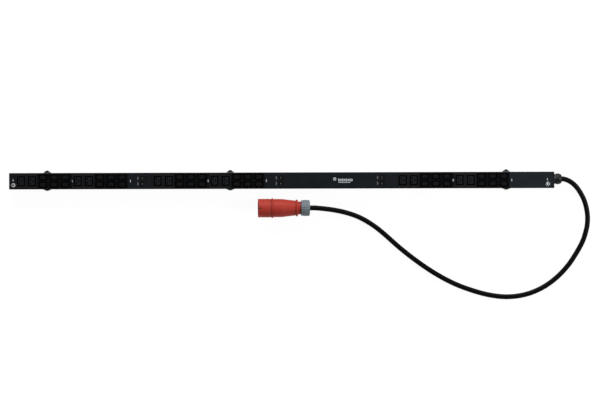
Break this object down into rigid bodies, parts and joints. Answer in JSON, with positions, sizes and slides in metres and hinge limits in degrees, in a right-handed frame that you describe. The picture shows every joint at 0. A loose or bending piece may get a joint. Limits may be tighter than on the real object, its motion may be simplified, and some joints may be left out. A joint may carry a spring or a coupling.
{
  "type": "rack power strip",
  "caption": "Long vertical rack power strip with keyed outlets in banks, rocker breakers, side mounting buttons and an industrial plug on a cord.",
  "frame": {"origin": "on the surface that the strip lies on, under the middle of the strip without its gland, cord and plug", "axes": "+X along the strip towards the cord, +Z out of the outlet face, +Y across the strip; rest pose lies on its back"},
  "size_m": [1.942, 0.4354, 0.0675],
  "materials": {
    "black_paint": "fine-textured black powder coat",
    "saddle_paint": "satin black coat over steel",
    "outlet_plastic": "fine-grained moulded black plastic",
    "rocker_plastic": "smooth black plastic",
    "insulator_plastic": "matt grey insulator",
    "bright_metal": "bright plated steel",
    "gland_plastic": "satin dark grey polyamide",
    "cord_rubber": "matt black rubber sheath",
    "plug_red": "satin red moulded plastic",
    "plug_grey": "satin blue-grey moulded plastic"
  },
  "bodies": {
    "strip": {"chassis_channel": "black_paint", "end_cap_left": "black_paint", "end_cap_right": "black_paint", "cover_left_end": "black_paint", "cover_between_groups": "black_paint", "cover_centre": "black_paint", "cover_right_end": "black_paint", "c19_outlet_01": "outlet_plastic", "c19_outlet_02": "outlet_plastic", "c19_outlet_03": "outlet_plastic", "c19_outlet_04": "outlet_plastic", "c19_outlet_05": "outlet_plastic", "c19_outlet_06": "outlet_plastic", "c19_outlet_07": "outlet_plastic", "c19_outlet_08": "outlet_plastic", "c19_outlet_09": "outlet_plastic", "c19_outlet_10": "outlet_plastic", "c19_outlet_11": "outlet_plastic", "c19_outlet_12": "outlet_plastic", "c13_pair_01": "outlet_plastic", "c13_pair_02": "outlet_plastic", "c13_pair_03": "outlet_plastic", "c13_pair_04": "outlet_plastic", "c13_pair_05": "outlet_plastic", "c13_pair_06": "outlet_plastic", "c13_pair_07": "outlet_plastic", "c13_pair_08": "outlet_plastic", "c13_pair_09": "outlet_plastic", "c13_pair_10": "outlet_plastic", "c13_pair_11": "outlet_plastic", "c13_pair_12": "outlet_plastic", "c13_pair_13": "outlet_plastic", "c13_pair_14": "outlet_plastic", "c13_pair_15": "outlet_plastic", "c13_pair_16": "outlet_plastic", "c13_pair_17": "outlet_plastic", "c13_pair_18": "outlet_plastic", "breaker_housing_1": "outlet_plastic", "breaker_housing_2": "outlet_plastic", "breaker_housing_3": "outlet_plastic", "busbar_rail": "insulator_plastic", "terminal_block": "insulator_plastic", "mounting_saddle_1": "saddle_paint", "mounting_saddle_2": "saddle_paint", "mounting_saddle_3": "saddle_paint", "ground_screw_1": "bright_metal", "ground_screw_2": "bright_metal", "gland_body": "gland_plastic", "gland_nut": "gland_plastic", "power_cord": "cord_rubber", "plug_shroud": "plug_red", "plug_rear_shell": "plug_red", "plug_pin_carrier": "outlet_plastic", "plug_gland_nut": "plug_grey"},
    "rocker_1": {"breaker_rocker_1": "rocker_plastic"},
    "rocker_2": {"breaker_rocker_2": "rocker_plastic"},
    "rocker_3": {"breaker_rocker_3": "rocker_plastic"},
    "rocker_4": {"breaker_rocker_4": "rocker_plastic"},
    "rocker_5": {"breaker_rocker_5": "rocker_plastic"},
    "rocker_6": {"breaker_rocker_6": "rocker_plastic"}
  },
  "joints": [
    {"name": "breaker_1_switch", "type": "hinge", "parent": "strip", "child": "rocker_1", "pos_m": [-0.463, 0.0081, 0.0465], "axis": [0, 1, 0], "range_deg": [0, 24]},
    {"name": "breaker_2_switch", "type": "hinge", "parent": "strip", "child": "rocker_2", "pos_m": [-0.463, -0.0111, 0.0465], "axis": [0, 1, 0], "range_deg": [0, 24]},
    {"name": "breaker_3_switch", "type": "hinge", "parent": "strip", "child": "rocker_3", "pos_m": [-0.001, 0.0081, 0.0465], "axis": [0, 1, 0], "range_deg": [0, 24]},
    {"name": "breaker_4_switch", "type": "hinge", "parent": "strip", "child": "rocker_4", "pos_m": [-0.001, -0.0111, 0.0465], "axis": [0, 1, 0], "range_deg": [0, 24]},
    {"name": "breaker_5_switch", "type": "hinge", "parent": "strip", "child": "rocker_5", "pos_m": [0.337, 0.0081, 0.0465], "axis": [0, 1, 0], "range_deg": [0, 24]},
    {"name": "breaker_6_switch", "type": "hinge", "parent": "strip", "child": "rocker_6", "pos_m": [0.337, -0.0111, 0.0465], "axis": [0, 1, 0], "range_deg": [0, 24]}
  ]
}
